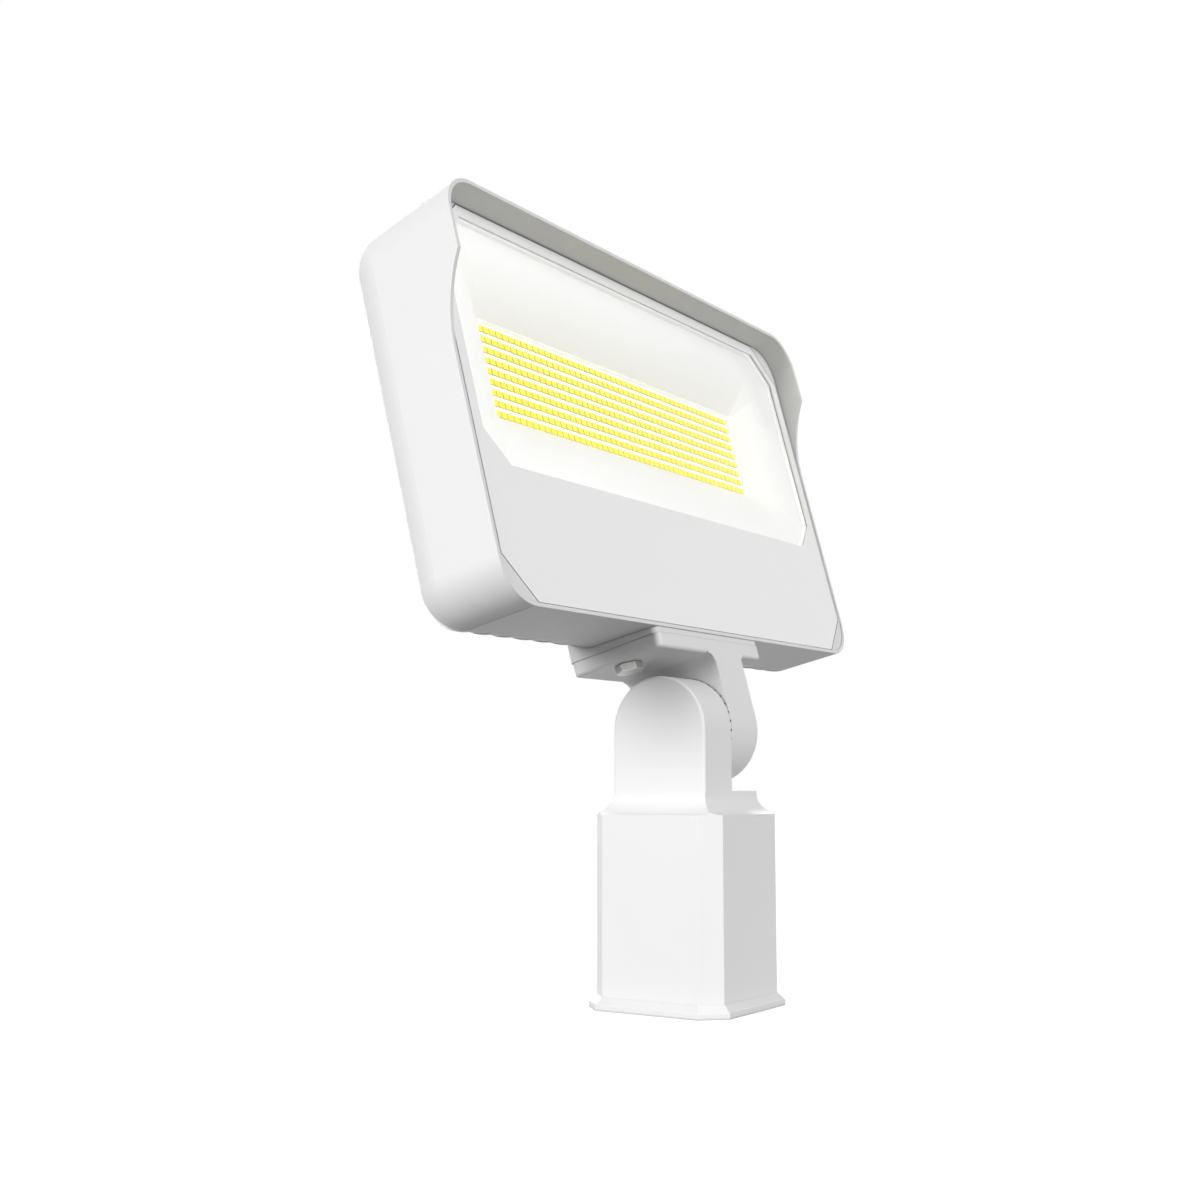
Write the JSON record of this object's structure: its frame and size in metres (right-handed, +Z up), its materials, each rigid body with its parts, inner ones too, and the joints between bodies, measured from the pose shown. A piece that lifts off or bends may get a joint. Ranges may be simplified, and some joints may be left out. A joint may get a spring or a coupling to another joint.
{
  "type": "led flood light",
  "caption": "Wide LED flood light with a visor, a flared reflector behind a glass window and back cooling fins, on a grooved tilt knuckle over a square slip-fitter pole mount.",
  "frame": {"origin": "centre of the mouth of the pole bore, in the plane of the slip fitter's foot", "axes": "+Z up along the pole bore, -Y the way the light shines, +X to the right of someone who faces the window's outside"},
  "size_m": [0.4024, 0.1511, 0.4588],
  "materials": {
    "white_casting": "white powder coat, satin",
    "white_plate": "white powder coat, smooth",
    "stainless": "plain stainless steel",
    "grey_silicone": "matt silicone",
    "clear_glass": "clear toughened glass",
    "white_reflector": "white, soft gloss",
    "white_board": "white solder mask",
    "phosphor": "yellow phosphor under clear resin",
    "driver_metal": "plain sheet case",
    "black_plastic": "matt black",
    "black_rubber": "matt"
  },
  "bodies": {
    "pole_mount": {"slipfitter_body": "white_casting", "clamp_screws": "stainless", "clamp_lock_nuts": "stainless", "pivot_bolt": "stainless", "pivot_washer": "stainless"},
    "head": {"knuckle_bracket": "white_casting", "bracket_seal": "grey_silicone", "bracket_bolts": "stainless", "housing": "white_casting", "front_plate": "white_plate", "frame_seal": "grey_silicone", "lens_seal": "grey_silicone", "glass_lens": "clear_glass", "plate_screws": "stainless", "reflector": "white_reflector", "led_board": "white_board", "led_chips": "phosphor", "thermal_pad": "grey_silicone", "board_screws": "stainless", "driver_case": "driver_metal", "driver_screws": "stainless", "surge_protector": "black_plastic", "terminal_block": "black_plastic", "vent_plug": "black_plastic", "wire_grommet": "black_rubber"}
  },
  "joints": [
    {"name": "head_tilt", "type": "hinge", "parent": "pole_mount", "child": "head", "pos_m": [0, 0, 0.163], "axis": [1, 0, 0], "range_deg": [-75, 105]}
  ]
}
